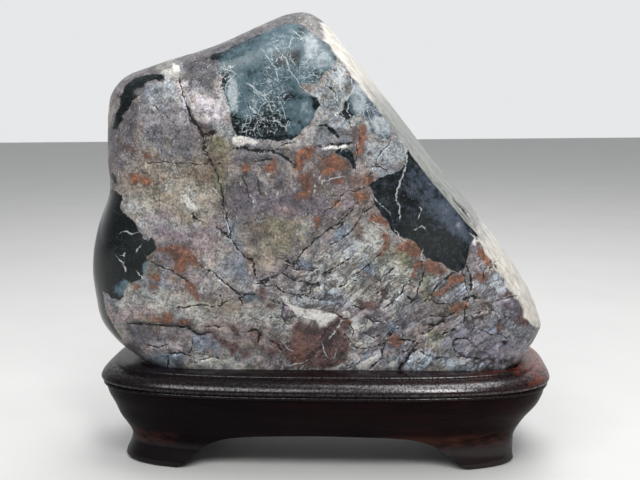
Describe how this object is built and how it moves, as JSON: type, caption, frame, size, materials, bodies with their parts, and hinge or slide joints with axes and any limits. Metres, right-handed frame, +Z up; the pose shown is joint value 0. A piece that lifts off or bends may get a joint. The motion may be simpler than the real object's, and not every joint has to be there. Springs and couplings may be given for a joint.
{
  "type": "scholar's rock on stand",
  "caption": "Upright viewing stone of polished veined rock, rising to an off-centre peak with one long slope, resting in the socket of a low moulded wooden stand on bracket feet",
  "frame": {"origin": "middle of the whole, on the surface that the feet stand on", "axes": "+Z up, +X to the right along the stand as the flat face of the stone is looked at, -Y out of that face towards the viewer"},
  "size_m": [0.2047, 0.09, 0.1963],
  "materials": {
    "stone": "polished, grey-mauve with dark chert and rust veining",
    "stand": "carved hardwood under dark red-brown lacquer"
  },
  "bodies": {
    "root": {"stone": "stone", "stand": "stand"}
  },
  "joints": []
}
